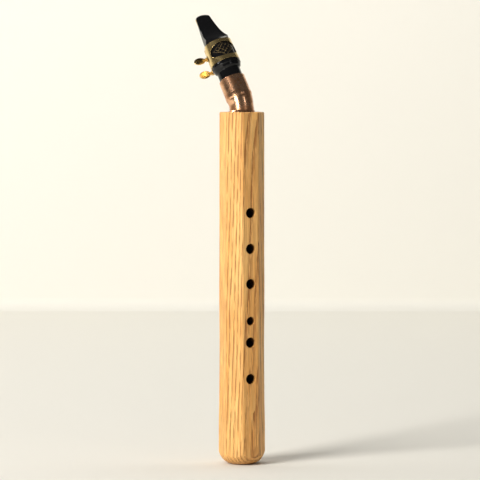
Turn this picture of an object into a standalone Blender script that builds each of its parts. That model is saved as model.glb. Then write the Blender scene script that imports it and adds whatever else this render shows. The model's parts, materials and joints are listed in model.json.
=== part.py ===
"""A pocket saxophone: an octagonal oak body with six finger holes, a copper elbow that turns in it,
and a clarinet-type mouthpiece with a cane reed held by a brass ligature with two paddle screws."""

from math import asin, cos, pi, radians, sin

import bmesh
import bpy
from mathutils import Matrix, Vector

MM = 0.001
RUN_GAP = 0.25 * MM  # round a piece that slides or turns
SEAT_GAP = 0.15 * MM  # under a piece that is glued, soldered or clamped
PAST = 2 * MM  # how far a cutter runs past what it cuts
ROUND = 64  # sides of a turned piece

# Oak body, standing on its foot
BODY_HEIGHT = 322 * MM
BODY_ACROSS = 38.3 * MM  # between opposite flats
BODY_SWELL = (  # share of the height, share of the nominal width: the bar is shaped by hand
    (0.0, 1.035),
    (0.1, 1.035),
    (0.2, 1.01),
    (0.33, 0.995),
    (0.49, 1.01),
    (0.62, 1.0),
    (0.86, 1.0),
    (1.0, 0.995),
)
EASED_EDGE = 2.9 * MM
TOP_EDGE = 0.7 * MM
FOOT_FLAT_RADIUS = 8.6 * MM
FOOT_ROUNDING_WIDTH = 13 * MM
FOOT_ROUNDING_HEIGHT = 15.5 * MM
BORE_RADIUS = 8.6 * MM
VENT_RADIUS = 4.5 * MM
VENT_LENGTH = 10 * MM
FINGER_HOLES = (  # height of the centre, radius
    (230.8 * MM, 4.75 * MM),
    (198.2 * MM, 4.75 * MM),
    (166.2 * MM, 4.7 * MM),
    (132.4 * MM, 4.0 * MM),
    (112.8 * MM, 4.8 * MM),
    (79.5 * MM, 4.75 * MM),
)
THUMB_HOLE = (246 * MM, 3.8 * MM)

# Copper elbow
NECK_TURN = radians(20)  # how far it is swivelled from the back, at rest
NECK_BEND = radians(30)
BEND_RADIUS = 26.2 * MM
CUP_OUTER = 12.1 * MM
CUP_WALL = 1.05 * MM
CUP_DEPTH = 18.5 * MM
UPPER_CUP_LENGTH = 19.1 * MM
BEAD_RISE = 0.25 * MM  # how far the bead at the foot of the upper cup stands proud of it
TUBE_OUTER = 11.15 * MM
TUBE_WALL = 1.4 * MM
NECK_SHOULDER = 1.2 * MM  # length of a step between tube and cup
CORK_THICKNESS = 1.1 * MM
CORK_SHORT = 3 * MM  # how far the neck cork stops from each end of the lower cup

# Mouthpiece: lengths along its axis start at the elbow's upper rim and grow towards the tip
TIP_AT = 73 * MM
MOUTHPIECE_ROLL = radians(-27)
TENON_END = -11.5 * MM
SHANK_TOP = 8.6 * MM
RING_BOTTOM = 12.7 * MM
RING_TOP = 15.7 * MM
RING_RADIUS = 13.7 * MM
TURNED_EDGE = 0.5 * MM  # the small rounding of the tenon's end and of the ring
BODY_LOW_RADIUS = 12.8 * MM
BODY_HIGH_RADIUS = 11.8 * MM
HEEL_AT = 36.6 * MM
PIECE_BORE = 7.2 * MM
BORE_TOP = 39 * MM
CORK_FROM = -9.6 * MM
CORK_TO = -2 * MM
CORK_GROOVE = 9.6 * MM
TABLE_DEPTH = 11.8 * MM  # from the axis to the flat the reed lies on
FACING_LENGTH = 16.5 * MM
TIP_OPENING = 1.1 * MM
TIP_THICKNESS = 0.9 * MM
TIP_HALF_WIDTH = 6.6 * MM
TIP_ARC_DEPTH = 3.3 * MM
RAMP_STRAIGHT = 8.5 * MM  # how much of the ramp's fall is even along it
RAMP_HOLLOW = 4  # how quickly the rest falls away below the heel
BEAK_STRAIGHT = 4.4 * MM  # how much of the beak's narrowing is even along it
BEAK_WAIST = 3
CHAMBER_LOW = 36 * MM
WINDOW_LOW = 43.7 * MM
TIP_RAIL = 1.3 * MM
WINDOW_LOW_HALF = 4.2 * MM
WINDOW_TIP_HALF = 4.9 * MM
BAFFLE_WALL = 1.9 * MM
BAFFLE_TIP_WALL = 0.7 * MM

# Reed
REED_BUTT = 17 * MM
REED_THICKNESS = 3 * MM
REED_TIP_THICKNESS = 0.35 * MM
REED_BUTT_HALF = 5.6 * MM
VAMP_LENGTH = 30 * MM
VAMP_STRAIGHT = 1.9 * MM  # how much of the vamp's thinning is even along it
VAMP_HOLLOW = 2.5
REED_EDGE_SHARE = 0.6  # thickness at the reed's sides, over its middle
REED_BACK_FROM_TIP = 0.3 * MM

# Ligature
BAND_LOW = 16 * MM
BAND_HIGH = 37.0 * MM
BAND_WALL = 0.75 * MM
BAND_GAP_HALF = 2.4 * MM
BAND_BULGE_REACH = radians(62)  # how far round from the reed the band stands out to clear it
BAND_WINDOW_HALF = 12.1 * MM
BAND_WINDOW_LOW = 20 * MM
BAND_WINDOW_HIGH = 33.9 * MM
BAND_WINDOW_WIDEST = 0.46  # where up the window it is widest
SCREWS = (  # name, place along the axis, turn of its paddle
    ("upper", 32.2 * MM, radians(8)),
    ("lower", 18 * MM, radians(-12)),
)
SCREW_RADIUS = 1.4 * MM
SCREW_PAST = 1 * MM  # how far the screw's tip shows past the threaded lug
LUG_RADIUS = 2.3 * MM
LUG_LENGTH = 4.3 * MM
LUG_FROM = 3 * MM
COLLAR_RADIUS = 2.1 * MM
COLLAR_LENGTH = 1.6 * MM
PADDLE_NECK = 0.8 * MM  # bare shaft between collar and paddle
PADDLE_LENGTH = 11.1 * MM
PADDLE_WIDTH = 7 * MM
PADDLE_THICKNESS = 1.3 * MM
PADDLE_EDGE = 0.35 * MM


# Building blocks


def clear_scene():
    for obj in list(bpy.data.objects):
        bpy.data.objects.remove(obj, do_unlink=True)


def material(name, colour, roughness, metallic=0.0):
    made = bpy.data.materials.new(name)
    made.use_nodes = True
    shader = made.node_tree.nodes["Principled BSDF"]
    shader.inputs["Base Color"].default_value = (*colour, 1)
    shader.inputs["Roughness"].default_value = roughness
    shader.inputs["Metallic"].default_value = metallic
    return made


def frame_at(name, parent, location=(0, 0, 0), rotation=(0, 0, 0)):
    """An empty on a joint's axis or at a piece's own frame."""
    empty = bpy.data.objects.new(name, None)
    bpy.context.collection.objects.link(empty)
    empty.parent = parent
    empty.location = location
    empty.rotation_euler = rotation
    return empty


def add_object(name, mesh, parent, look=None):
    obj = bpy.data.objects.new(name, mesh)
    bpy.context.collection.objects.link(obj)
    obj.parent = parent
    if look:
        mesh.materials.append(look)
    return obj


def rings_to_mesh(name, rings, hollow=False):
    """A closed skin over rings of equally many points; hollow joins the last ring to the first."""
    shape = bmesh.new()
    made = [[shape.verts.new(point) for point in ring] for ring in rings]
    pairs = list(zip(made, made[1:]))
    if hollow:
        pairs.append((made[-1], made[0]))
    for low, high in pairs:
        count = len(low)
        for i in range(count):
            j = (i + 1) % count
            shape.faces.new((low[i], low[j], high[j], high[i]))
    if not hollow:
        shape.faces.new(reversed(made[0]))
        shape.faces.new(made[-1])
    bmesh.ops.recalc_face_normals(shape, faces=shape.faces)
    mesh = bpy.data.meshes.new(name)
    shape.to_mesh(mesh)
    shape.free()
    mesh.shade_smooth()
    mesh.set_sharp_from_angle(angle=radians(32))
    return mesh


def circle(radius, place=(0, 0, 0), turn=None, sides=ROUND):
    """Points round a circle about Z, turned by a matrix and then moved."""
    angles = [2 * pi * i / sides for i in range(sides)]
    points = [Vector((radius * cos(angle), radius * sin(angle), 0)) for angle in angles]
    if turn:
        points = [turn @ point for point in points]
    return [point + Vector(place) for point in points]


def turned(name, profile, hollow=False, sides=ROUND):
    """A solid of revolution about Z through (radius, height) points."""
    return rings_to_mesh(name, [circle(r, (0, 0, z), sides=sides) for r, z in profile], hollow)


def prism(name, outline, low, high, along="Z"):
    """An outline extruded from low to high: (y, z) points along X, (x, z) along Y, (x, y) along Z."""
    place = {
        "X": lambda a, b, c: (c, a, b),
        "Y": lambda a, b, c: (a, c, b),
        "Z": lambda a, b, c: (a, b, c),
    }[along]
    return rings_to_mesh(name, [[Vector(place(a, b, c)) for a, b in outline] for c in (low, high)])


def rod(name, radius, start, end, sides=40):
    """A round bar between two points."""
    run = Vector(end) - Vector(start)
    turn = run.to_track_quat("Z", "Y").to_matrix()
    return rings_to_mesh(name, [circle(radius, place, turn, sides) for place in (start, end)])


def shape_with(obj, mesh, operation):
    """Cuts, joins or trims an object with a mesh in the object's own frame."""
    tool = add_object(mesh.name, mesh, obj)
    tool.hide_render = True
    tool.display_type = "WIRE"
    step = obj.modifiers.new(mesh.name, "BOOLEAN")
    step.operation = operation
    step.object = tool


def easing(share, start, end, straight, power):
    """From start to end as share goes from 0 to 1: a straight part and a steep part near the start."""
    left = 1 - share
    return end + straight * left + (start - end - straight) * left**power


def steps(count):
    return [i / count for i in range(count + 1)]


# Oak body


def swell_at(share):
    """How much wider than nominal the hand-shaped bar is at this share of its height."""
    for (low, a), (high, b) in zip(BODY_SWELL, BODY_SWELL[1:]):
        if share <= high:
            blend = (share - low) / (high - low)
            blend = blend * blend * (3 - 2 * blend)
            return a + (b - a) * blend
    return BODY_SWELL[-1][1]


def octagon(across, height):
    """A regular octagon with a flat facing -Y and its corners rounded."""
    corner_radius = across / 2 / cos(pi / 8)
    edge_centre = corner_radius - EASED_EDGE / cos(pi / 8)
    points = []
    for corner in range(8):
        middle = -pi / 2 + pi / 8 + corner * pi / 4
        for part in (-1, -0.5, 0, 0.5, 1):
            way = middle + part * pi / 8
            points.append(
                Vector(
                    (
                        edge_centre * cos(middle) + EASED_EDGE * cos(way),
                        edge_centre * sin(middle) + EASED_EDGE * sin(way),
                        height,
                    )
                )
            )
    return points


def foot_dome(name):
    """The turned shape that rounds the foot: a quarter ellipse, then straight up past the bar."""
    past = BODY_ACROSS
    profile = [(FOOT_FLAT_RADIUS, 0)]
    for share in steps(14)[1:]:
        angle = share * pi / 2
        profile.append(
            (FOOT_FLAT_RADIUS + FOOT_ROUNDING_WIDTH * sin(angle), FOOT_ROUNDING_HEIGHT * (1 - cos(angle)))
        )
    profile.append((profile[-1][0] + past, FOOT_ROUNDING_HEIGHT + PAST))
    profile.append((profile[-1][0], BODY_HEIGHT + PAST))
    return turned(name, profile, sides=96)


def socket_radius():
    return CUP_OUTER + SEAT_GAP + CORK_THICKNESS + RUN_GAP


def socket_depth():
    return CUP_DEPTH + 2 * RUN_GAP


def oak_body(parent):
    rings = []
    for share in steps(26):
        height = share * (BODY_HEIGHT - TOP_EDGE) - (PAST if share == 0 else 0)
        rings.append(octagon(BODY_ACROSS * swell_at(share), height))
    rings.append(octagon(BODY_ACROSS * swell_at(1) - 2 * TOP_EDGE, BODY_HEIGHT))
    look = material("oak", (0.72, 0.46, 0.20), 0.6)
    body = add_object("oak_body", rings_to_mesh("oak_body", rings), parent, look)
    shape_with(body, foot_dome("cut_foot"), "INTERSECT")
    bore = [
        (VENT_RADIUS, -PAST),
        (VENT_RADIUS, VENT_LENGTH),
        (BORE_RADIUS, VENT_LENGTH + BORE_RADIUS - VENT_RADIUS),
        (BORE_RADIUS, BODY_HEIGHT - socket_depth()),
        (socket_radius(), BODY_HEIGHT - socket_depth()),
        (socket_radius(), BODY_HEIGHT + PAST),
    ]
    shape_with(body, turned("cut_bore", bore), "DIFFERENCE")
    for number, (height, radius) in enumerate(FINGER_HOLES, 1):
        cutter = rod(f"cut_finger_hole_{number}", radius, (0, 0, height), (0, -BODY_ACROSS, height))
        shape_with(body, cutter, "DIFFERENCE")
    height, radius = THUMB_HOLE
    cutter = rod("cut_thumb_hole", radius, (0, 0, height), (0, BODY_ACROSS, height))
    shape_with(body, cutter, "DIFFERENCE")
    return body


# Copper elbow and its cork


def neck_path(run):
    """Place and tilt on the elbow's centreline, run metres above the oak; it leans towards +Y."""
    bend = BEND_RADIUS * NECK_BEND
    angle = min(max(run / BEND_RADIUS, 0), NECK_BEND)
    place = Vector((0, BEND_RADIUS * (1 - cos(angle)), BEND_RADIUS * sin(angle)))
    beyond = min(run, 0) + max(run - bend, 0)
    place += beyond * Vector((0, sin(angle), cos(angle)))
    return place, Matrix.Rotation(-angle, 3, "X")


def neck_end():
    return BEND_RADIUS * NECK_BEND + UPPER_CUP_LENGTH


def neck_elbow(parent):
    """Lower cup, bent tube, bead and upper cup: rings up the outside, then down the inside."""
    top = neck_end()
    crease = top - UPPER_CUP_LENGTH
    step = NECK_SHOULDER
    rim_round = 0.35 * MM
    cup_inner = CUP_OUTER - CUP_WALL
    tube_inner = TUBE_OUTER - TUBE_WALL
    bead = CUP_OUTER + BEAD_RISE
    outer = [
        (CUP_OUTER - rim_round, -CUP_DEPTH),
        (CUP_OUTER, -CUP_DEPTH + rim_round),
        (CUP_OUTER, 0),
        (TUBE_OUTER, 1.5 * step),
    ]
    widening_from = 0.45 * crease
    widening_to = crease - step
    outer.append((TUBE_OUTER, widening_from))
    for share in steps(5)[1:]:
        blend = share * share * (3 - 2 * share)
        radius = TUBE_OUTER + (CUP_OUTER - 0.3 * MM - TUBE_OUTER) * blend
        outer.append((radius, widening_from + share * (widening_to - widening_from)))
    outer += [
        (bead, crease),
        (bead, crease + 1.2 * step),
        (CUP_OUTER, crease + 3 * step),
        (CUP_OUTER, top - rim_round),
        (CUP_OUTER - rim_round, top),
    ]
    inner = [(cup_inner, top), (cup_inner, crease + step), (tube_inner, crease + 0.8 * step)]
    for share in reversed(steps(6)[1:-1]):
        inner.append((tube_inner, share * crease))
    inner += [(tube_inner, 0), (cup_inner, -0.2 * step), (cup_inner, -CUP_DEPTH)]
    rings = []
    for radius, run in outer + inner:
        place, turn = neck_path(run)
        rings.append(circle(radius, place, turn))
    look = material("copper", (0.72, 0.40, 0.26), 0.3, 1.0)
    return add_object("neck_elbow", rings_to_mesh("neck_elbow", rings, hollow=True), parent, look)


def tube(name, inner, outer, low, high):
    return turned(name, [(outer, low), (outer, high), (inner, high), (inner, low)], hollow=True)


def neck_cork(parent):
    inner = CUP_OUTER + SEAT_GAP
    mesh = tube("neck_cork", inner, inner + CORK_THICKNESS, -CUP_DEPTH + CORK_SHORT, -CORK_SHORT)
    return add_object("neck_cork", mesh, parent, material("cork", (0.62, 0.42, 0.24), 0.85))


# Mouthpiece and reed


def facing_depth(along):
    """Depth below the axis of the table, which curves away from the reed near the tip."""
    start = TIP_AT - FACING_LENGTH
    share = max(along - start, 0) / FACING_LENGTH
    return TABLE_DEPTH - TIP_OPENING * share**2


def beak_share(along):
    return (along - HEEL_AT) / (TIP_AT - HEEL_AT)


def ramp_height(along):
    """Height above the axis of the hollow ramp that the player's teeth rest on."""
    tip = TIP_OPENING + TIP_THICKNESS - TABLE_DEPTH
    return easing(beak_share(along), BODY_HIGH_RADIUS, tip, RAMP_STRAIGHT, RAMP_HOLLOW)


def beak_half_width(along):
    return easing(beak_share(along), BODY_HIGH_RADIUS + 0.2 * MM, TIP_HALF_WIDTH, BEAK_STRAIGHT, BEAK_WAIST)


def plan_outline(back=0.0):
    """The beak seen from above as (x, z) points: its waisted sides and rounded tip."""
    wide = RING_RADIUS + PAST
    sides = []
    for share in steps(14):
        along = HEEL_AT + share * (TIP_AT - TIP_ARC_DEPTH - HEEL_AT)
        sides.append((beak_half_width(along), along - back))
    corner = sides[-1][0]
    arc = [
        (corner * cos(angle), TIP_AT - TIP_ARC_DEPTH - back + TIP_ARC_DEPTH * sin(angle))
        for angle in [share * pi / 2 for share in steps(8)[1:]]
    ]
    right = [(wide, TENON_END - PAST), (wide, HEEL_AT - back - 0.1 * MM)] + sides + arc
    left = [(-x, z) for x, z in reversed(right[:-1])]
    return right + left


def above_ramp():
    """The (y, z) outline of what the ramp takes away."""
    far = RING_RADIUS + PAST
    shares = steps(20)
    curve = [(ramp_height(z), z) for z in [HEEL_AT + s * (TIP_AT - HEEL_AT) for s in shares]]
    last = (curve[-1][0], TIP_AT + PAST)
    return [(far, HEEL_AT - 0.1 * MM), curve[0]] + curve[1:] + [last, (far, TIP_AT + PAST)]


def below_table():
    """The (y, z) outline of what the table and the facing take away."""
    far = -RING_RADIUS - PAST
    curve = [(-facing_depth(z), z) for z in [TIP_AT - FACING_LENGTH * (1 - s) for s in steps(8)]]
    start = [(far, RING_TOP), (-TABLE_DEPTH, RING_TOP)]
    return start + curve + [(curve[-1][0], TIP_AT + PAST), (far, TIP_AT + PAST)]


def chamber(name):
    """The tone chamber: it rises from the bore, narrows under the baffle and opens through the table."""
    rings = []
    flat_roof = PIECE_BORE - 1 * MM
    high = TIP_AT - TIP_RAIL
    for share in steps(12):
        along = CHAMBER_LOW + share * (high - CHAMBER_LOW)
        half = WINDOW_LOW_HALF + (WINDOW_TIP_HALF - WINDOW_LOW_HALF) * share
        wall = BAFFLE_WALL + (BAFFLE_TIP_WALL - BAFFLE_WALL) * share
        roof = min(ramp_height(along) - wall, flat_roof) if along > HEEL_AT else flat_roof
        floor = -RING_RADIUS if along > WINDOW_LOW else -flat_roof
        corners = ((half, floor), (half, roof), (-half, roof), (-half, floor))
        rings.append([Vector((x, y, along)) for x, y in corners])
    return rings_to_mesh(name, rings)


def mouthpiece(parent):
    land = CUP_OUTER - CUP_WALL - RUN_GAP
    edge = TURNED_EDGE
    profile = [
        (land - edge, TENON_END),
        (land, TENON_END + edge),
        (land, CORK_FROM - RUN_GAP),
        (CORK_GROOVE, CORK_FROM - RUN_GAP),
        (CORK_GROOVE, CORK_TO + RUN_GAP),
        (land, CORK_TO + RUN_GAP),
        (land, SHANK_TOP - 0.6 * MM),
        (land + 0.5 * MM, SHANK_TOP + 0.2 * MM),
        (land + 1.6 * MM, SHANK_TOP + 1.3 * MM),
        (RING_RADIUS - 0.6 * MM, RING_BOTTOM - 0.7 * MM),
        (RING_RADIUS, RING_BOTTOM + 0.3 * MM),
        (RING_RADIUS, RING_TOP - edge),
        (RING_RADIUS - edge, RING_TOP),
        (BODY_LOW_RADIUS, RING_TOP),
        (BODY_HIGH_RADIUS, HEEL_AT),
        (BODY_HIGH_RADIUS, TIP_AT + PAST),
    ]
    look = material("ebonite", (0.012, 0.012, 0.013), 0.12)
    piece = add_object("mouthpiece", turned("mouthpiece", profile), parent, look)
    far = RING_RADIUS + PAST
    shape_with(piece, prism("trim_plan", plan_outline(), -far, far, "Y"), "INTERSECT")
    shape_with(piece, prism("cut_ramp", above_ramp(), -far, far, "X"), "DIFFERENCE")
    shape_with(piece, prism("cut_table", below_table(), -far, far, "X"), "DIFFERENCE")
    bore = [(PIECE_BORE, TENON_END - PAST), (PIECE_BORE, BORE_TOP - PIECE_BORE), (3 * MM, BORE_TOP)]
    shape_with(piece, turned("cut_piece_bore", bore, sides=48), "DIFFERENCE")
    shape_with(piece, chamber("cut_chamber"), "DIFFERENCE")
    return piece


def tenon_cork(parent):
    inner = CORK_GROOVE + SEAT_GAP
    outer = CUP_OUTER - CUP_WALL - RUN_GAP
    mesh = tube("tenon_cork", inner, outer, CORK_FROM, CORK_TO)
    return add_object("tenon_cork", mesh, parent, bpy.data.materials["cork"])


def reed_section(along):
    """The flat back on the table and the round bark below it."""
    tip = TIP_AT - REED_BACK_FROM_TIP
    vamp = min(max(along - (tip - VAMP_LENGTH), 0) / VAMP_LENGTH, 1)
    middle = easing(vamp, REED_THICKNESS, REED_TIP_THICKNESS, VAMP_STRAIGHT, VAMP_HOLLOW)
    share = (along - REED_BUTT) / (tip - REED_BUTT)
    half = REED_BUTT_HALF + (TIP_HALF_WIDTH - REED_BUTT_HALF) * share
    back = -TABLE_DEPTH - SEAT_GAP
    edge_share = REED_EDGE_SHARE + (1 - REED_EDGE_SHARE) * vamp
    points = [Vector((half, back, along)), Vector((-half, back, along))]
    for across in steps(10):
        x = (2 * across - 1) * half
        depth = middle * (1 - (1 - edge_share) * (x / half) ** 2)
        points.append(Vector((x, back - depth, along)))
    return points


def reed(parent):
    length = TIP_AT + PAST - REED_BUTT
    rings = [reed_section(REED_BUTT + share * length) for share in steps(34)]
    look = material("cane", (0.80, 0.62, 0.30), 0.5)
    piece = add_object("reed", rings_to_mesh("reed", rings), parent, look)
    far = RING_RADIUS + 2 * PAST
    shape_with(piece, prism("trim_reed", plan_outline(REED_BACK_FROM_TIP), -far, far, "Y"), "INTERSECT")
    return piece


# Ligature


def piece_radius(along):
    """Radius of the tapered mouthpiece under the ligature."""
    share = (along - RING_TOP) / (HEEL_AT - RING_TOP)
    return BODY_LOW_RADIUS + (BODY_HIGH_RADIUS - BODY_LOW_RADIUS) * share


def reed_clear_radius():
    return TABLE_DEPTH + SEAT_GAP + REED_THICKNESS + RUN_GAP


def band_radius(along, angle):
    """Inside radius of the band; angle is 0 under the reed, where the band stands out to clear it."""
    base = piece_radius(along) + RUN_GAP
    bulge = max(reed_clear_radius() - base, 0)
    blend = max(1 - (angle / BAND_BULGE_REACH) ** 4, 0)
    return base + bulge * blend


def band_point(along, angle, wall):
    radius = band_radius(along, angle) + wall
    return Vector((radius * sin(angle), -radius * cos(angle), along))


def band_shell(name, wall_from, wall_to, low, high, gap_half):
    """An open band round the mouthpiece, split under the reed."""
    start = asin(gap_half / reed_clear_radius())
    angles = [start + share * (2 * pi - 2 * start) for share in steps(72)]
    angles = [angle if angle <= pi else angle - 2 * pi for angle in angles]
    rings = []
    for share in steps(4):
        along = low + share * (high - low)
        outside = [band_point(along, angle, wall_to) for angle in angles]
        inside = [band_point(along, angle, wall_from) for angle in reversed(angles)]
        rings.append(outside + inside)
    return rings_to_mesh(name, rings)


def window_outline():
    """The band's window seen from above: flatter below, arched above."""
    middle = BAND_WINDOW_LOW + BAND_WINDOW_WIDEST * (BAND_WINDOW_HIGH - BAND_WINDOW_LOW)
    points = []
    for i in range(48):
        angle = 2 * pi * i / 48
        upper = sin(angle) >= 0
        power = 0.9 if upper else 0.55
        rise = (BAND_WINDOW_HIGH if upper else BAND_WINDOW_LOW) - middle
        x = BAND_WINDOW_HALF * abs(cos(angle)) ** power * (1 if cos(angle) >= 0 else -1)
        points.append((x, middle + rise * abs(sin(angle)) ** power))
    return points


def ligature_band(parent):
    mesh = band_shell("ligature_band", 0, BAND_WALL, BAND_LOW, BAND_HIGH, BAND_GAP_HALF)
    band = add_object("ligature_band", mesh, parent, material("brass", (0.80, 0.62, 0.28), 0.22, 1.0))
    cutter = prism("cut_band_window", window_outline(), 3 * MM, RING_RADIUS + 2 * PAST, "Y")
    shape_with(band, cutter, "DIFFERENCE")
    return band


def screw_depth():
    """Distance from the mouthpiece's axis to a ligature screw's axis."""
    return reed_clear_radius() + BAND_WALL + SEAT_GAP + LUG_RADIUS


def lug(name, side, along, parent):
    """A post soldered under one end of the band and bored for the screw."""
    low = LUG_FROM
    high = LUG_FROM + LUG_LENGTH
    depth = screw_depth()
    ends = ((side * low, -depth, along), (side * high, -depth, along))
    post = add_object(name, rod(name, LUG_RADIUS, *ends), parent, bpy.data.materials["brass"])
    foot_half = 0.8 * LUG_RADIUS
    foot = [
        (-depth, along - foot_half),
        (-depth, along + foot_half),
        (-TABLE_DEPTH, along + foot_half),
        (-TABLE_DEPTH, along - foot_half),
    ]
    inset = 0.2 * MM
    sides = sorted((side * (low + inset), side * (high - inset)))
    shape_with(post, prism(f"{name}_foot", foot, *sides, "X"), "UNION")
    around = PAST + LUG_RADIUS
    clear = band_shell(
        f"{name}_seat", -4 * MM, BAND_WALL + SEAT_GAP, along - around, along + around, 0.5 * MM
    )
    shape_with(post, clear, "DIFFERENCE")
    ends = ((side * (low - PAST), -depth, along), (side * (high + PAST), -depth, along))
    shape_with(post, rod(f"{name}_hole", SCREW_RADIUS + RUN_GAP, *ends), "DIFFERENCE")
    return post


def paddle(name, middle):
    """A flat oval with its edges eased, across the screw's axis."""
    half = PADDLE_THICKNESS / 2
    rings = []
    for height, inset in ((-half, PADDLE_EDGE), (-0.6 * half, 0), (0.6 * half, 0), (half, PADDLE_EDGE)):
        long_half = PADDLE_LENGTH / 2 - inset
        wide_half = PADDLE_WIDTH / 2 - inset
        unit = circle(1, sides=40)
        rings.append([Vector((middle + long_half * p.x, height, wide_half * p.y)) for p in unit])
    return rings_to_mesh(name, rings)


def ligature_screw(name, frame):
    """A thumb screw along X in its own frame: round shaft, collar and a flat oval paddle."""
    collar_from = LUG_FROM + LUG_LENGTH + RUN_GAP
    collar_to = collar_from + COLLAR_LENGTH
    paddle_middle = collar_to + PADDLE_NECK + PADDLE_LENGTH / 2
    tip = -LUG_FROM - LUG_LENGTH - SCREW_PAST
    shaft = rod(name, SCREW_RADIUS, (tip, 0, 0), (paddle_middle - PADDLE_LENGTH / 4, 0, 0), 32)
    screw = add_object(name, shaft, frame, bpy.data.materials["brass"])
    collar = rod(f"{name}_collar", COLLAR_RADIUS, (collar_from, 0, 0), (collar_to, 0, 0), 32)
    shape_with(screw, collar, "UNION")
    shape_with(screw, paddle(f"{name}_paddle", paddle_middle), "UNION")
    return screw


def ligature(parent):
    ligature_band(parent)
    for word, along, turn in SCREWS:
        lug(f"{word}_plain_lug", 1, along, parent)
        lug(f"{word}_threaded_lug", -1, along, parent)
        axis = frame_at(f"{word}_screw_axis", parent, (0, -screw_depth(), along), (turn, 0, 0))
        ligature_screw(f"{word}_screw", axis)


# Assembly


def stand_on_origin(root):
    """Moves everything so that the middle of the bounding box's floor is the origin."""
    bpy.context.view_layer.update()
    graph = bpy.context.evaluated_depsgraph_get()
    points = []
    for obj in bpy.context.scene.objects:
        if obj.type == "MESH" and not obj.hide_render:
            evaluated = obj.evaluated_get(graph)
            points += [evaluated.matrix_world @ vertex.co for vertex in evaluated.data.vertices]
    low = [min(point[k] for point in points) for k in range(3)]
    high = [max(point[k] for point in points) for k in range(3)]
    root.location = (-(low[0] + high[0]) / 2, -(low[1] + high[1]) / 2, -low[2])


def main():
    clear_scene()
    root = frame_at("instrument", None)
    oak_body(root)
    neck = frame_at("neck_swivel_axis", root, (0, 0, BODY_HEIGHT), (0, 0, NECK_TURN))
    neck_elbow(neck)
    neck_cork(neck)
    rim, _ = neck_path(neck_end())
    tilted = frame_at("cup_axis", neck, rim, (-NECK_BEND, 0, 0))
    piece = frame_at("mouthpiece_axis", tilted, rotation=(0, 0, pi + MOUTHPIECE_ROLL))
    mouthpiece(piece)
    tenon_cork(piece)
    reed(piece)
    ligature(piece)
    stand_on_origin(root)
    bpy.context.view_layer.update()


main()
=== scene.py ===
"""Looks for the pocket saxophone: oak, copper, ebonite, brass, cane and cork, in a pale studio."""

import json
from math import cos, pi, radians, sin

import bmesh
import bpy
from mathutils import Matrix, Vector

MM = 0.001
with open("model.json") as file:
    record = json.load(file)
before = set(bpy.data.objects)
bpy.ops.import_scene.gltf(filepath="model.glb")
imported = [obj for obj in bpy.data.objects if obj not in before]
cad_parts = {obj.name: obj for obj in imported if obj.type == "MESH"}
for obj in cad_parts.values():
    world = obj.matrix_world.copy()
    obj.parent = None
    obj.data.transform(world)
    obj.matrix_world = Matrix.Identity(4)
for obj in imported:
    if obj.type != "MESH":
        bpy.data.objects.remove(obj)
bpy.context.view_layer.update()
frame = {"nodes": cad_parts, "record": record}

# Joint axes: the mouthpiece's axis runs up towards the tip, the screws' axis towards the paddles
JOINTS = {joint["name"]: joint for joint in frame["record"]["behaviour"]["joints"]}
SWIVEL = Vector(JOINTS["neck_swivel"]["pos_m"])
RIM = Vector(JOINTS["mouthpiece_twist"]["pos_m"])
TIP_WAY = Vector(JOINTS["mouthpiece_twist"]["axis"]).normalized()
SIDE_WAY = Vector(JOINTS["upper_screw_turn"]["axis"]).normalized()
TOP_WAY = TIP_WAY.cross(SIDE_WAY)  # the side of the mouthpiece away from the reed
LEFT_SIDE = SIDE_WAY if SIDE_WAY.x < 0 else -SIDE_WAY  # the side of the beak on the camera's left
AXIS = Vector((SWIVEL.x, SWIVEL.y, 0))  # the foot of the bar's axis


def level_view(azimuth):
    """Unit vectors to the right and away, seen level at this azimuth."""
    right = Vector((cos(azimuth), sin(azimuth), 0))
    away = Vector((-sin(azimuth), cos(azimuth), 0))
    return right, away


# Camera
RIGHT, AWAY = level_view(radians(-25))
CAMERA_DISTANCE = 2.43
CAMERA_HEIGHT = 0.364
AIM_HEIGHT = 0.2052
AIM_LEFT = 1.7 * MM
LENS_MM = 200
CLIP_END = 50

# Floor and wall
WALL_BEHIND = 1.52
WALL_HEIGHT = 1.3
FLOOR_REACH = 6.0
CORNER_RADIUS = 0.02
CORNER_STEPS = 8
FLOOR_COLOUR = (0.73, 0.712, 0.65)
WALL_COLOUR = (0.85, 0.83, 0.76)
PAPER_ROUGHNESS = 0.9

# Lamps: azimuths to the right of the camera as seen from the aim, lengths in metres
BAR_MIDDLE = AXIS + Vector((0, 0, 0.22))
HEAD = AXIS + Vector((0, 0, 0.36))
WARM = (1.0, 0.975, 0.94)
WHITE = (1.0, 1.0, 1.0)
KEY = dict(azimuth=radians(-50), elevation=radians(30), distance=3.4, size=(1.5, 1.5), watts=150)
SOFTBOX = dict(azimuth=radians(-36), elevation=radians(6), distance=1.9, size=(0.42, 0.75), watts=15)
STRIP = dict(azimuth=radians(38), elevation=radians(14), distance=1.9, size=(0.12, 0.9), watts=1.6)
EDGE_NORMAL = (TOP_WAY + LEFT_SIDE + TIP_WAY * 0.65).normalized()  # a surface facing so mirrors the edge lamp
EDGE_DISTANCE = 1.4
EDGE_SIZE = (0.22, 0.30)
EDGE_WATTS = 9
WASH_PLACE = AXIS + AWAY * 0.55 + Vector((0, 0, 2.4))
WASH_AIM = AXIS + AWAY * WALL_BEHIND + Vector((0, 0, 0.5))
WASH_SIZE = (3.0, 0.8)
WASH_WATTS = 30
ROOM_COLOUR = (1.0, 0.985, 0.95, 1)
ROOM_STRENGTH = 0.08

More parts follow.
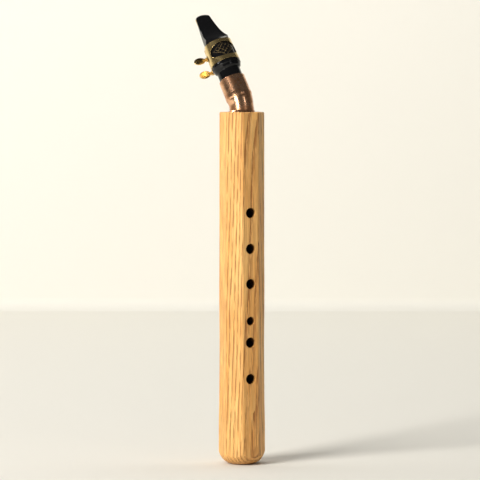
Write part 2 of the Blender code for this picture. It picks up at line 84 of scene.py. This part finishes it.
# Oak: the tree's middle lies behind and to the left of the bar and leans across it
PITH_FROM_AXIS = Vector((-0.027, 0.082, 0))
PITH_LEAN = (0.006, 0.022)
RING_WIDTH = 2.7 * MM
RING_DRIFT = 8 * MM
RING_WOBBLE = 1.5 * MM
PORE_DEPTH = 0.25 * MM
FOOT_DARK_TO = 8 * MM
FOOT_ROUNDING = 15.5 * MM
TOP_MARGIN = 1 * MM
# Painted shade: the oak goes near black inside the bore and finger holes. It is full within the first
# distance from the bar's axis and gone by the second.
HOLE_SHADE_FULL_WITHIN = 14.5 * MM
HOLE_SHADE_ENDS_BEYOND = 18.4 * MM
OAK_GOLDEN = (0.95, 0.53, 0.165)
OAK_TAN = (0.85, 0.405, 0.10)
OAK_EARLY_WOOD = (0.64, 0.26, 0.055)
OAK_FIBRE = (0.99, 0.69, 0.29)
OAK_PORE = (0.33, 0.115, 0.022)
OAK_FOOT = (0.46, 0.20, 0.05)
# The next colour is painted shade for the inside of the bore and finger holes, not the wood's own colour
OAK_HOLE_PAINTED_SHADE = (0.030, 0.013, 0.005)

# Copper and brass
COPPER_CLEAN = (0.90, 0.52, 0.31)
COPPER_BROWN = (0.60, 0.29, 0.15)
COPPER_TARNISH = (0.40, 0.16, 0.07)
COPPER_LINE_DEPTH = 0.03 * MM
BRASS_PALE = (0.86, 0.65, 0.30)
BRASS_DEEP = (0.70, 0.49, 0.19)
BRASS_LINE_DEPTH = 0.008 * MM

# Mouthpiece: lengths along its axis start at the copper rim
PANEL_MIDDLE = 27 * MM
PANEL_REACH = 9.4 * MM
PANEL_SQUATNESS = 1.5  # the panel reaches this many times farther across than along
PANEL_CELL = 4.0 * MM
PANEL_LINE = 0.24 * MM
BORDER_GAP = 0.8 * MM
BORDER_LINE = 0.25 * MM
PANEL_FROM_AXIS = 5 * MM  # gilt shows only where the top side is farther out than this
EBONITE_BLACK = (0.004, 0.004, 0.0045)
EBONITE_SPECULAR = 0.35
GILT = (0.42, 0.30, 0.13)
RUBBED_DEPTH = 0.006 * MM

# Reed and corks
BARK_FADES = (40 * MM, 44 * MM)
CANE_PALE = (0.82, 0.62, 0.28)
CANE_DARK = (0.62, 0.42, 0.15)
CANE_BARK = (0.70, 0.52, 0.20)
CANE_FIBRE_DEPTH = 0.05 * MM
CORK_DARK = (0.55, 0.34, 0.17)
CORK_PALE = (0.74, 0.52, 0.31)
CORK_PIT = (0.25, 0.13, 0.06)
CORK_PIT_DEPTH = 0.2 * MM


# Materials


class Look:
    """A node material under construction: each call adds nodes and returns the output that carries on."""

    def __init__(self, name):
        self.material = bpy.data.materials.new(name)
        self.material.use_nodes = True
        self.tree = self.material.node_tree
        self.shader = self.tree.nodes["Principled BSDF"]
        self.point = self.add("ShaderNodeTexCoord", output="Object")

    def add(self, kind, *values, output=0, **settings):
        """Adds a node: settings are its own properties, values fill its inputs in order."""
        node = self.tree.nodes.new(kind)
        for key, value in settings.items():
            setattr(node, key, value)
        for socket, value in zip(node.inputs, values):
            self.put(socket, value)
        return node.outputs[output]

    def put(self, socket, value):
        """Links an output to a socket, or sets the socket to a plain value."""
        if isinstance(value, bpy.types.NodeSocket):
            self.tree.links.new(value, socket)
        else:
            socket.default_value = value

    def fill(self, node, names, values):
        for name, value in zip(names, values):
            self.put(node.inputs[name], value)

    def math(self, operation, *values, clamp=False):
        return self.add("ShaderNodeMath", *values, operation=operation, use_clamp=clamp)

    def vector(self, operation, *values, output=0):
        return self.add("ShaderNodeVectorMath", *values, operation=operation, output=output)

    def along(self, way, origin=(0, 0, 0)):
        """Distance of the shaded point from an origin, along a direction fixed on the object."""
        shifted = self.vector("SUBTRACT", self.point, tuple(origin))
        return self.vector("DOT_PRODUCT", shifted, tuple(way), output="Value")

    def stretched(self, way, share):
        """The shaded point with its distances along a direction shrunk to a share, so noise runs that way."""
        run = self.along(way)
        back = self.vector("MULTIPLY", self.add("ShaderNodeCombineXYZ", run, run, run), tuple(way))
        back = self.vector("MULTIPLY", back, (1 - share,) * 3)
        return self.vector("SUBTRACT", self.point, back)

    def length(self, x, y):
        squares = self.math("ADD", self.math("MULTIPLY", x, x), self.math("MULTIPLY", y, y))
        return self.math("SQRT", squares)

    def noise(self, point, scale, detail=3.0, roughness=0.55):
        node = self.add("ShaderNodeTexNoise").node
        self.fill(node, ("Vector", "Scale", "Detail", "Roughness"), (point, scale, detail, roughness))
        return node.outputs["Fac"]

    def spots(self, point, scale):
        node = self.add("ShaderNodeTexVoronoi").node
        self.fill(node, ("Vector", "Scale"), (point, scale))
        return node.outputs["Distance"]

    def ramp(self, value, low, high, to_low=0.0, to_high=1.0):
        """A smooth step from to_low to to_high as value goes from low to high."""
        node = self.add("ShaderNodeMapRange", interpolation_type="SMOOTHSTEP").node
        names = ("Value", "From Min", "From Max", "To Min", "To Max")
        self.fill(node, names, (value, low, high, to_low, to_high))
        return node.outputs["Result"]

    def mix(self, share, first, second):
        """The first colour, with a share of the second."""
        node = self.add("ShaderNodeMix", data_type="RGBA").node
        for name, kind, given in (("Factor", "VALUE", share), ("A", "RGBA", first), ("B", "RGBA", second)):
            socket = next(s for s in node.inputs if s.name == name and s.type == kind)
            self.put(socket, (*given, 1) if isinstance(given, tuple) else given)
        return next(s for s in node.outputs if s.type == "RGBA")

    def finish(self, colour, roughness, height=None, depth=0.0, edge=0.0, metallic=0.0):
        """Fills the shader, with bump of a real depth and edges that look rounded by a small radius."""
        self.fill(self.shader, ("Base Color", "Roughness"), (colour, roughness))
        self.shader.inputs["Metallic"].default_value = metallic
        normal = None
        if edge:
            node = self.add("ShaderNodeBevel", samples=4).node
            node.inputs["Radius"].default_value = edge
            normal = node.outputs["Normal"]
        if height is not None:
            node = self.add("ShaderNodeBump").node
            self.fill(node, ("Height", "Distance"), (height, depth))
            if normal:
                self.put(node.inputs["Normal"], normal)
            normal = node.outputs["Normal"]
        if normal:
            self.put(self.shader.inputs["Normal"], normal)
        return self.material


def oak_rings(look):
    """How far each point is through its growth ring, from 0 to 1, round a leaning, wavering pith."""
    up = Vector((0, 0, 1))
    height_up = look.along(up)
    drift = look.noise(look.stretched(up, 0.12), scale=24.0, detail=2.0)
    wobble = look.noise(look.stretched(up, 0.09), scale=180.0, detail=2.0)
    pith = AXIS + PITH_FROM_AXIS
    x = look.math("ADD", look.along((1, 0, 0), pith), look.math("MULTIPLY", height_up, PITH_LEAN[0]))
    y = look.math("ADD", look.along((0, 1, 0), pith), look.math("MULTIPLY", height_up, PITH_LEAN[1]))
    reach = look.length(x, y)
    reach = look.math("ADD", reach, look.math("MULTIPLY", drift, RING_DRIFT))
    reach = look.math("ADD", reach, look.math("MULTIPLY", wobble, RING_WOBBLE))
    return look.math("FRACT", look.math("DIVIDE", reach, RING_WIDTH))


def oak():
    """Open-grained oak: growth rings, long pores in them, fibre, a darker foot, and painted shade on the
    inner walls of the bore and finger holes.
    """
    look = Look("oak_grain")
    up = Vector((0, 0, 1))
    height_up = look.along(up)
    early = look.ramp(oak_rings(look), 0.0, 0.62, to_low=1.0, to_high=0.0)
    coarse = look.noise(look.stretched(up, 0.07), scale=560.0, detail=3.0, roughness=0.6)
    fine = look.noise(look.stretched(up, 0.045), scale=1150.0, detail=2.0, roughness=0.5)
    openness = look.math("MAXIMUM", look.ramp(coarse, 0.46, 0.57), look.ramp(fine, 0.50, 0.62))
    amount = look.math("ADD", look.math("MULTIPLY", early, 0.75), 0.30)
    pores = look.math("MULTIPLY", openness, amount, clamp=True)
    fibre = look.noise(look.stretched(up, 0.018), scale=1600.0, detail=3.0, roughness=0.6)
    cloud = look.noise(look.stretched(up, 0.2), scale=60.0, detail=2.0)

    colour = look.mix(look.ramp(cloud, 0.35, 0.65), OAK_GOLDEN, OAK_TAN)
    colour = look.mix(look.math("MULTIPLY", early, 0.45), colour, OAK_EARLY_WOOD)
    colour = look.mix(look.ramp(fibre, 0.4, 0.75, to_high=0.5), colour, OAK_FIBRE)
    colour = look.mix(look.math("MULTIPLY", pores, 0.85), colour, OAK_PORE)
    colour = look.mix(look.ramp(height_up, 0.0, FOOT_DARK_TO, to_low=0.5, to_high=0.0), colour, OAK_FOOT)

    # Painted shade: the inner walls of the bore and finger holes are darkened towards near black, standing in
    # for the shadow inside them
    from_axis = look.length(look.along((1, 0, 0), AXIS), look.along((0, 1, 0), AXIS))
    wall = look.ramp(from_axis, HOLE_SHADE_FULL_WITHIN, HOLE_SHADE_ENDS_BEYOND, to_low=1.0, to_high=0.0)
    below_top = look.math("LESS_THAN", height_up, SWIVEL.z - TOP_MARGIN)
    above_foot = look.math("GREATER_THAN", height_up, FOOT_ROUNDING)
    inside = look.math("MULTIPLY", wall, look.math("MULTIPLY", below_top, above_foot))
    colour = look.mix(look.math("MULTIPLY", inside, 0.95), colour, OAK_HOLE_PAINTED_SHADE)

    height = look.math("SUBTRACT", look.math("MULTIPLY", fibre, 0.25), pores)
    rough = look.ramp(fibre, 0.3, 0.7, to_low=0.42, to_high=0.58)
    return look.finish(colour, rough, height, PORE_DEPTH, edge=0.5 * MM)


def copper():
    """Drawn copper: fine lines along the mouthpiece's axis, brown blotches and streaks of tarnish."""
    look = Look("copper_drawn")
    lines = look.noise(look.stretched(TIP_WAY, 0.06), scale=1400.0, detail=2.0)
    blotch = look.noise(look.point, scale=120.0, detail=4.0, roughness=0.65)
    streaks = look.noise(look.stretched(TIP_WAY, 0.5), scale=330.0, detail=3.0, roughness=0.6)
    colour = look.mix(look.ramp(blotch, 0.40, 0.64), COPPER_CLEAN, COPPER_BROWN)
    colour = look.mix(look.ramp(streaks, 0.56, 0.70, to_high=0.55), colour, COPPER_TARNISH)
    dull = look.ramp(blotch, 0.35, 0.7, to_low=0.17, to_high=0.33)
    rough = look.math("ADD", dull, look.math("MULTIPLY", lines, 0.08))
    return look.finish(colour, rough, lines, COPPER_LINE_DEPTH, edge=0.4 * MM, metallic=1.0)


def gilt_panel(look):
    """Where the mouthpiece's top carries worn gilt: plain lozenges inside a thin border."""
    across = look.along(SIDE_WAY, RIM)
    run = look.along(TIP_WAY, RIM)
    out = look.along(TOP_WAY, RIM)
    worn = look.noise(look.point, scale=420.0)
    row = look.math("ABSOLUTE", look.math("SUBTRACT", run, PANEL_MIDDLE))
    squat_row = look.math("MULTIPLY", row, PANEL_SQUATNESS)
    reach = look.math("ADD", squat_row, look.math("ABSOLUTE", across))
    rising = look.math("PINGPONG", look.math("ADD", across, run), PANEL_CELL / 2)
    falling = look.math("PINGPONG", look.math("SUBTRACT", across, run), PANEL_CELL / 2)
    lattice = look.math("LESS_THAN", look.math("MINIMUM", rising, falling), PANEL_LINE)
    inside = look.math("LESS_THAN", reach, PANEL_REACH)
    border = look.math("ABSOLUTE", look.math("SUBTRACT", reach, PANEL_REACH + BORDER_GAP))
    border = look.math("LESS_THAN", border, BORDER_LINE)
    gilt = look.math("MAXIMUM", look.math("MULTIPLY", lattice, inside), border)
    gilt = look.math("MULTIPLY", gilt, look.math("GREATER_THAN", out, PANEL_FROM_AXIS))
    return look.math("MULTIPLY", gilt, look.ramp(worn, 0.40, 0.56, to_low=0.05, to_high=0.7))


def ebonite():
    """Polished black ebonite with faint rubbing marks and a gilt panel on its top."""
    look = Look("ebonite_polished")
    rubbed = look.noise(look.stretched(TIP_WAY, 0.2), scale=900.0)
    gilt = gilt_panel(look)
    colour = look.mix(gilt, EBONITE_BLACK, GILT)
    polish = look.ramp(rubbed, 0.4, 0.75, to_low=0.07, to_high=0.15)
    rough = look.math("ADD", polish, look.math("MULTIPLY", gilt, 0.25))
    look.shader.inputs["Specular IOR Level"].default_value = EBONITE_SPECULAR
    look.finish(colour, rough, rubbed, RUBBED_DEPTH, edge=1.0 * MM)
    look.put(look.shader.inputs["Metallic"], look.math("MULTIPLY", gilt, 0.8))
    return look.material


def brass(name, way, share):
    """Lacquered brass with fine polishing marks, drawn out along a direction as share gets smaller."""
    look = Look(name)
    lines = look.noise(look.stretched(way, share), scale=1600.0, detail=2.0)
    wear = look.noise(look.point, scale=160.0)
    colour = look.mix(look.ramp(wear, 0.4, 0.7), BRASS_PALE, BRASS_DEEP)
    dull = look.ramp(wear, 0.35, 0.7, to_low=0.16, to_high=0.28)
    rough = look.math("ADD", dull, look.math("MULTIPLY", lines, 0.06))
    return look.finish(colour, rough, lines, BRASS_LINE_DEPTH, edge=0.2 * MM, metallic=1.0)


def cane():
    """Reed cane: straight fibres along the blade, a more even bark towards the butt."""
    look = Look("reed_cane")
    fibre = look.noise(look.stretched(TIP_WAY, 0.02), scale=1500.0)
    colour = look.mix(look.ramp(fibre, 0.35, 0.65), CANE_PALE, CANE_DARK)
    bark = look.ramp(look.along(TIP_WAY, RIM), *BARK_FADES, to_low=0.6, to_high=0.0)
    colour = look.mix(bark, colour, CANE_BARK)
    rough = look.ramp(fibre, 0.3, 0.7, to_low=0.38, to_high=0.55)
    return look.finish(colour, rough, fibre, CANE_FIBRE_DEPTH)


def cork():
    """Sheet cork: pale and dark grains with small pits."""
    look = Look("sheet_cork")
    grains = look.spots(look.point, scale=900.0)
    pits = look.noise(look.point, scale=600.0)
    colour = look.mix(look.ramp(grains, 0.2, 0.7), CORK_DARK, CORK_PALE)
    colour = look.mix(look.ramp(pits, 0.58, 0.7), colour, CORK_PIT)
    rough = look.ramp(pits, 0.3, 0.7, to_low=0.7, to_high=0.9)
    return look.finish(colour, rough, pits, CORK_PIT_DEPTH)


def dress_nodes():
    """Gives every CAD node its finish; the screws and lugs take the turned brass."""
    turned_brass = brass("brass_turned", SIDE_WAY, share=1.0)
    sheet_cork = cork()
    looks = {
        "oak_body": oak(),
        "neck_elbow": copper(),
        "neck_cork": sheet_cork,
        "tenon_cork": sheet_cork,
        "mouthpiece": ebonite(),
        "reed": cane(),
        "ligature_band": brass("brass_band", TIP_WAY.cross(TOP_WAY), share=0.1),
    }
    for name, obj in frame["nodes"].items():
        look = looks.get(name, turned_brass)
        if not obj.material_slots:
            obj.data.materials.append(look)
        for slot in obj.material_slots:
            slot.link = "OBJECT"
            slot.material = look


# Floor, wall, lamps and camera


def backdrop():
    """A floor that meets a wall in a tight curve, square to the camera."""
    profile = [(-FLOOR_REACH, 0.0), (WALL_BEHIND - CORNER_RADIUS, 0.0)]
    for i in range(1, CORNER_STEPS + 1):
        angle = pi / 2 * i / CORNER_STEPS
        away = WALL_BEHIND - CORNER_RADIUS + CORNER_RADIUS * sin(angle)
        profile.append((away, CORNER_RADIUS * (1 - cos(angle))))
    profile.append((WALL_BEHIND, WALL_HEIGHT))
    shape = bmesh.new()
    rows = []
    for away, height in profile:
        middle = AXIS + AWAY * away + Vector((0, 0, height))
        rows.append([shape.verts.new(middle + RIGHT * side) for side in (-FLOOR_REACH, FLOOR_REACH)])
    for low, high in zip(rows, rows[1:]):
        shape.faces.new((low[0], low[1], high[1], high[0]))
    mesh = bpy.data.meshes.new("backdrop")
    shape.to_mesh(mesh)
    shape.free()
    mesh.shade_smooth()
    board = bpy.data.objects.new("backdrop", mesh)
    bpy.context.collection.objects.link(board)
    look = Look("backdrop_paper")
    paper = look.mix(look.ramp(look.along((0, 0, 1)), 0.0, CORNER_RADIUS), FLOOR_COLOUR, WALL_COLOUR)
    mesh.materials.append(look.finish(paper, PAPER_ROUGHNESS))


def area_light(name, place, aim, size, watts, colour):
    """A rectangular lamp at a place, facing what it is aimed at."""
    lamp = bpy.data.lights.new(name, "AREA")
    lamp.shape = "RECTANGLE"
    lamp.size, lamp.size_y = size
    lamp.energy = watts
    lamp.color = colour
    obj = bpy.data.objects.new(name, lamp)
    obj.location = place
    obj.rotation_euler = (aim - place).to_track_quat("-Z", "Y").to_euler()
    bpy.context.collection.objects.link(obj)
    return obj


def lamp_toward(name, aim, azimuth, elevation, distance, size, watts):
    """A warm lamp seen from its aim at this azimuth right of the camera and this elevation."""
    level = RIGHT * sin(azimuth) - AWAY * cos(azimuth)
    place = aim + (level * cos(elevation) + Vector((0, 0, sin(elevation)))) * distance
    return area_light(name, place, aim, size, watts, WARM)


def lights():
    """A soft key and two lamps that only gloss sees, all from the left, a weak right strip, a washed wall."""
    key = lamp_toward("key", BAR_MIDDLE, **KEY)
    key.visible_glossy = False
    softbox = lamp_toward("softbox", HEAD, **SOFTBOX)
    softbox.visible_diffuse = False
    bounce = AWAY - EDGE_NORMAL * (2 * AWAY.dot(EDGE_NORMAL))
    edge = area_light("edge", HEAD + bounce * EDGE_DISTANCE, HEAD, EDGE_SIZE, EDGE_WATTS, WARM)
    edge.visible_diffuse = False
    lamp_toward("strip", HEAD, **STRIP)
    wash = area_light("wall_wash", WASH_PLACE, WASH_AIM, WASH_SIZE, WASH_WATTS, WHITE)
    wash.visible_glossy = False


def room():
    """A faint even light from all round."""
    world = bpy.data.worlds.new("room")
    world.use_nodes = True
    background = world.node_tree.nodes["Background"]
    background.inputs["Color"].default_value = ROOM_COLOUR
    background.inputs["Strength"].default_value = ROOM_STRENGTH
    bpy.context.scene.world = world


def camera():
    """A long lens at the height of the mouthpiece, looking slightly down, 25 degrees round from -Y."""
    aim = AXIS - RIGHT * AIM_LEFT + Vector((0, 0, AIM_HEIGHT))
    place = aim - AWAY * CAMERA_DISTANCE + Vector((0, 0, CAMERA_HEIGHT - AIM_HEIGHT))
    data = bpy.data.cameras.new("camera")
    data.lens = LENS_MM
    data.clip_end = CLIP_END
    obj = bpy.data.objects.new("camera", data)
    obj.location = place
    obj.rotation_euler = (aim - place).to_track_quat("-Z", "Y").to_euler()
    bpy.context.collection.objects.link(obj)
    bpy.context.scene.camera = obj


camera()
dress_nodes()
backdrop()
lights()
room()
bpy.context.scene.view_settings.view_transform = "Standard"
